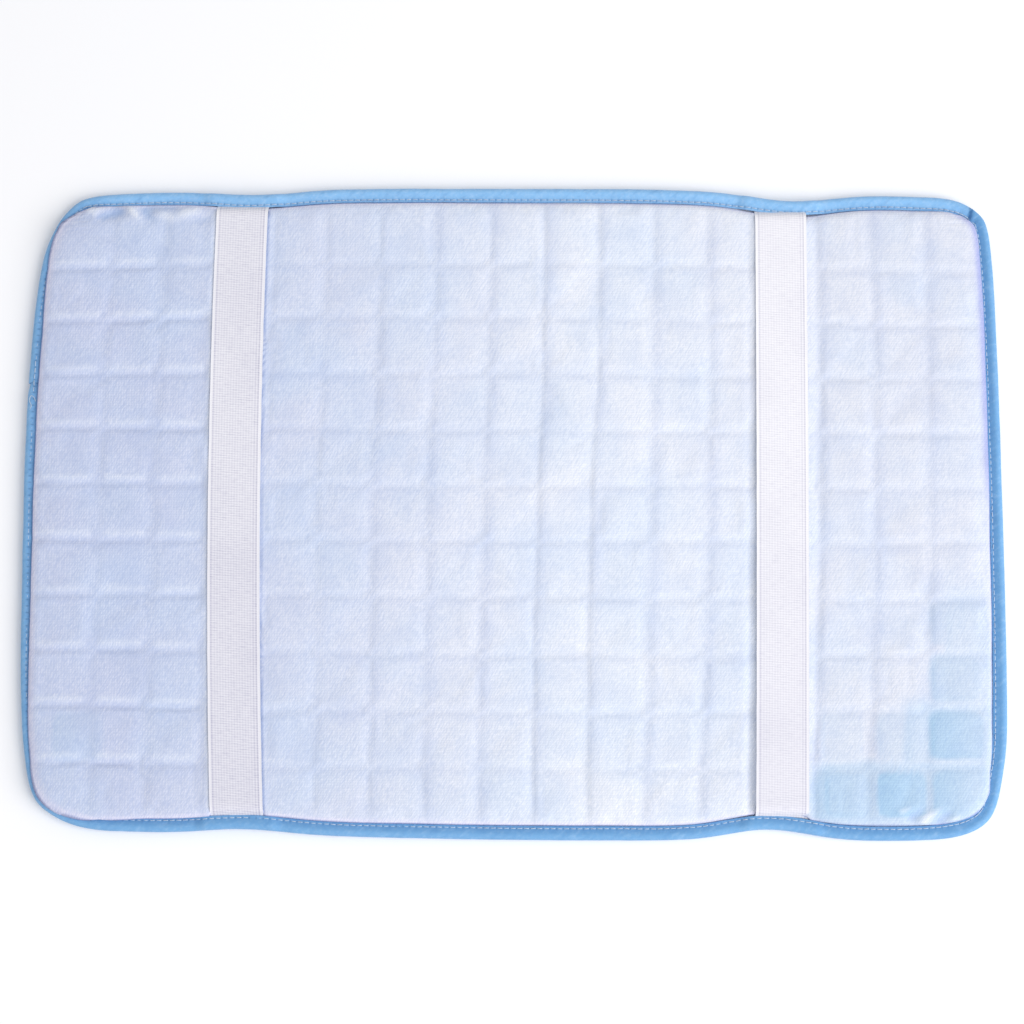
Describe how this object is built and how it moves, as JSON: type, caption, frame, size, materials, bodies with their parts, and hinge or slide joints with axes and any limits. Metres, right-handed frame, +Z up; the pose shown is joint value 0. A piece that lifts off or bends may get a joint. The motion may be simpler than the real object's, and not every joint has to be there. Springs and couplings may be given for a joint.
{
  "type": "gel cooling cushion",
  "caption": "Thin quilted gel cooling cushion, cool face down, with a taped edge and elastic straps across its back that slip over a pillow or mattress.",
  "frame": {"origin": "centre of the mat on the surface that its front face lies on", "axes": "+X along the mat's length towards the right strap, +Y across it, +Z up out of the back face with the straps"},
  "size_m": [0.4487, 0.3025, 0.0103],
  "materials": {
    "back_cloth": "fine woven polyester, white with a light blue cast, pressed into a grid",
    "front_cloth": "smooth cool-touch knit, light blue, slight sheen",
    "binding_tape": "matte knitted binding tape, sky blue",
    "elastic": "matte white ribbed woven elastic",
    "sewing_thread": "pale blue polyester sewing thread",
    "clear_film": "clear soft film",
    "blue_gel": "soft glossy gel, light blue"
  },
  "bodies": {
    "mat": {"front_cover": "front_cloth", "gel_pack_front_film": "clear_film", "gel_row_01": "blue_gel", "gel_row_02": "blue_gel", "gel_row_03": "blue_gel", "gel_row_04": "blue_gel", "gel_row_05": "blue_gel", "gel_row_06": "blue_gel", "gel_row_07": "blue_gel", "gel_row_08": "blue_gel", "gel_row_09": "blue_gel", "gel_row_10": "blue_gel", "gel_row_11": "blue_gel", "gel_pack_back_film": "clear_film", "back_cover": "back_cloth", "edge_binding": "binding_tape", "binding_needle_thread": "sewing_thread", "binding_bobbin_thread": "sewing_thread", "left_strap_near_end": "elastic", "left_strap_far_end": "elastic", "right_strap_near_end": "elastic", "right_strap_far_end": "elastic"},
    "left_strap": {"left_strap": "elastic"},
    "right_strap": {"right_strap": "elastic"}
  },
  "joints": [
    {"name": "left_strap_lift", "type": "slide", "parent": "mat", "child": "left_strap", "axis": [0, 0, 1], "range_m": [0, 0.1], "stiffness_N_per_m": 60},
    {"name": "right_strap_lift", "type": "slide", "parent": "mat", "child": "right_strap", "axis": [0, 0, 1], "range_m": [0, 0.1], "stiffness_N_per_m": 60}
  ]
}
